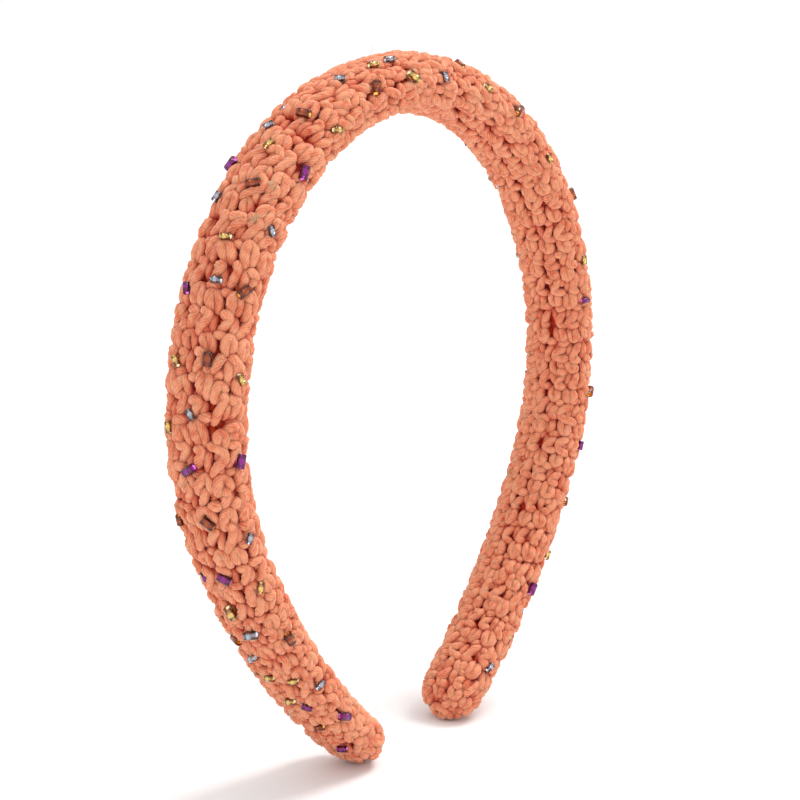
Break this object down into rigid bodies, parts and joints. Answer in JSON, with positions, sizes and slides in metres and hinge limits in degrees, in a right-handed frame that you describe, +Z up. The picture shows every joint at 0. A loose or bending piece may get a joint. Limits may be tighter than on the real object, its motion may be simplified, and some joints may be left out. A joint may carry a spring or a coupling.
{
  "type": "padded crocheted hair headband",
  "caption": "Padded hair headband: a springy hoop in a crocheted cotton cover with small glass tube beads, worn over the crown behind the ears.",
  "frame": {"origin": "middle of the crown's inner face, where the band rests on the head", "axes": "+Z up through the crown as worn, X from leg to leg, front of the band faces -Y"},
  "size_m": [0.1495, 0.0191, 0.1619],
  "materials": {
    "coral_cotton": "matte plied cotton yarn",
    "hoop_plastic": "satin off-white plastic",
    "pad_foam": "matte open-cell foam",
    "silver_glass": "clear blue-grey glass with a silvered bore",
    "gold_glass": "pale gold glass with a silvered bore",
    "amber_glass": "brown amber glass with a silvered bore",
    "purple_glass": "purple glass with a silvered bore"
  },
  "bodies": {
    "root": {"amber_bead_01": "amber_glass", "amber_bead_02": "amber_glass", "amber_bead_03": "amber_glass", "amber_bead_04": "amber_glass", "amber_bead_05": "amber_glass", "amber_bead_06": "amber_glass", "amber_bead_07": "amber_glass", "amber_bead_08": "amber_glass", "amber_bead_09": "amber_glass", "amber_bead_10": "amber_glass", "amber_bead_11": "amber_glass", "amber_bead_12": "amber_glass", "amber_bead_13": "amber_glass", "amber_bead_14": "amber_glass", "crochet_cover": "coral_cotton", "foam_pad": "pad_foam", "gold_bead_01": "gold_glass", "gold_bead_02": "gold_glass", "gold_bead_03": "gold_glass", "gold_bead_04": "gold_glass", "gold_bead_05": "gold_glass", "gold_bead_06": "gold_glass", "gold_bead_07": "gold_glass", "gold_bead_08": "gold_glass", "gold_bead_09": "gold_glass", "gold_bead_10": "gold_glass", "gold_bead_11": "gold_glass", "gold_bead_12": "gold_glass", "gold_bead_13": "gold_glass", "gold_bead_14": "gold_glass", "gold_bead_15": "gold_glass", "gold_bead_16": "gold_glass", "gold_bead_17": "gold_glass", "purple_bead_01": "purple_glass", "purple_bead_02": "purple_glass", "purple_bead_03": "purple_glass", "purple_bead_04": "purple_glass", "purple_bead_05": "purple_glass", "purple_bead_06": "purple_glass", "purple_bead_07": "purple_glass", "purple_bead_08": "purple_glass", "purple_bead_09": "purple_glass", "purple_bead_10": "purple_glass", "purple_bead_11": "purple_glass", "purple_bead_12": "purple_glass", "seam_yarn": "coral_cotton", "silver_bead_01": "silver_glass", "silver_bead_02": "silver_glass", "silver_bead_03": "silver_glass", "silver_bead_04": "silver_glass", "silver_bead_05": "silver_glass", "silver_bead_06": "silver_glass", "silver_bead_07": "silver_glass", "silver_bead_08": "silver_glass", "silver_bead_09": "silver_glass", "silver_bead_10": "silver_glass", "silver_bead_11": "silver_glass", "silver_bead_12": "silver_glass", "silver_bead_13": "silver_glass", "spring_hoop": "hoop_plastic"}
  },
  "joints": []
}
